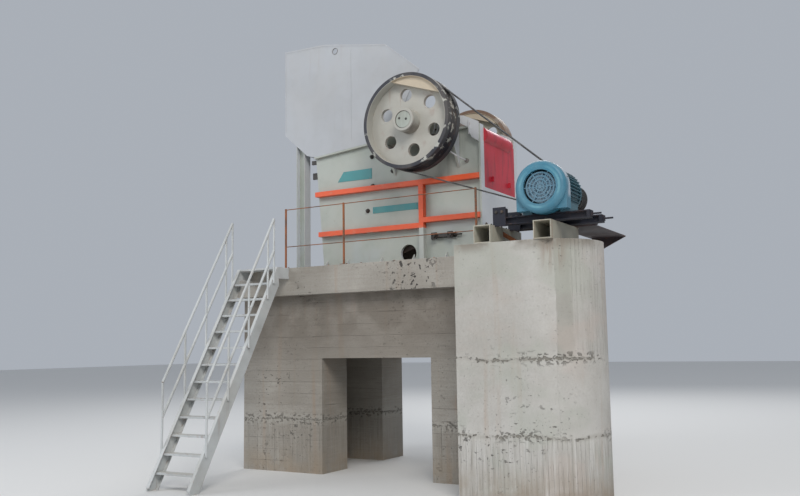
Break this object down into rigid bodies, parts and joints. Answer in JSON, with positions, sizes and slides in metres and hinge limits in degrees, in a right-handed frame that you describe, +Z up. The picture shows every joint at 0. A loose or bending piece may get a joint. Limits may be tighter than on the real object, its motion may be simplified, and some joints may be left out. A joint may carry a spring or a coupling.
{
  "type": "jaw crusher",
  "caption": "Jaw crusher with feed hopper, belt drive and motor on a hollow concrete foundation with a round-ended motor pier, access stair and guard rail.",
  "frame": {"origin": "middle of the ground area that the plant covers, on the ground; the eccentric shaft's axis lies at X 0.025, Y 1.0915", "axes": "+X along the crusher from the feed end to the motor, +Y from the stair side to the far side, +Z up"},
  "size_m": [6.45, 5.093, 7.19],
  "materials": {
    "concrete": "board-marked cast concrete, weathered",
    "frame_paint": "pale green-grey paint",
    "rib_paint": "orange paint",
    "red_paint": "red paint",
    "hopper_paint": "blue-grey paint, dusty",
    "wheel_paint": "cream paint with a dark worn rim",
    "worn_steel": "worn manganese steel",
    "dark_steel": "oiled dark steel",
    "belt_rubber": "matte black",
    "motor_paint": "teal paint",
    "rail_paint": "dark navy paint",
    "beam_paint": "cream paint, rusty edges",
    "stair_paint": "white-grey paint",
    "rusty_steel": "rusty bare steel"
  },
  "bodies": {
    "plant": {"near_wall_feed": "concrete", "near_wall_motor": "concrete", "near_lintel": "concrete", "near_beam": "concrete", "far_wall_feed": "concrete", "far_wall_motor": "concrete", "far_lintel": "concrete", "far_beam": "concrete", "end_wall_feed": "concrete", "end_wall_motor": "concrete", "deck_slab_feed": "concrete", "deck_slab_motor": "concrete", "motor_pier": "concrete", "stair_stringer_feed": "stair_paint", "stair_stringer_motor": "stair_paint", "stair_treads": "stair_paint", "handrail_feed": "stair_paint", "handrail_motor": "stair_paint", "guard_rail": "rusty_steel", "side_plate_near": "frame_paint", "side_plate_far": "frame_paint", "ribs_near": "rib_paint", "ribs_far": "rib_paint", "front_wall": "frame_paint", "rear_wall": "frame_paint", "rear_cover": "red_paint", "bearing_near": "frame_paint", "bearing_far": "frame_paint", "fixed_jaw_plate": "worn_steel", "cheek_plates": "worn_steel", "toggle_plate": "worn_steel", "toggle_block": "dark_steel", "tension_rod": "dark_steel", "hopper_wall_near": "hopper_paint", "hopper_wall_far": "hopper_paint", "hopper_rear": "hopper_paint", "hopper_floor": "hopper_paint", "hopper_legs": "frame_paint", "motor_body": "motor_paint", "fan_cover": "motor_paint", "belts": "belt_rubber", "slide_rails": "rail_paint", "box_beams": "beam_paint", "deck_plate": "rail_paint"},
    "shaft": {"eccentric_shaft": "dark_steel", "flywheel_near": "wheel_paint", "flywheel_far": "wheel_paint"},
    "pitman_body": {"pitman": "red_paint", "moving_jaw_plate": "worn_steel"},
    "rotor": {"motor_rotor": "worn_steel"}
  },
  "joints": [
    {"name": "shaft_spin", "type": "hinge", "parent": "plant", "child": "shaft", "pos_m": [0.025, 1.0915, 5.39], "axis": [0, 1, 0], "continuous": true},
    {"name": "pitman_swing", "type": "hinge", "parent": "shaft", "child": "pitman_body", "pos_m": [0.02333, 1.0915, 5.37409], "axis": [0, 1, 0], "continuous": true},
    {"name": "motor_spin", "type": "hinge", "parent": "plant", "child": "rotor", "pos_m": [2.525, 1.0915, 3.945], "axis": [0, 1, 0], "continuous": true}
  ],
  "couplings": [
    {"joint": "pitman_swing", "follows": "shaft_spin", "ratio": -1},
    {"joint": "motor_spin", "follows": "shaft_spin", "ratio": 3.7832}
  ]
}
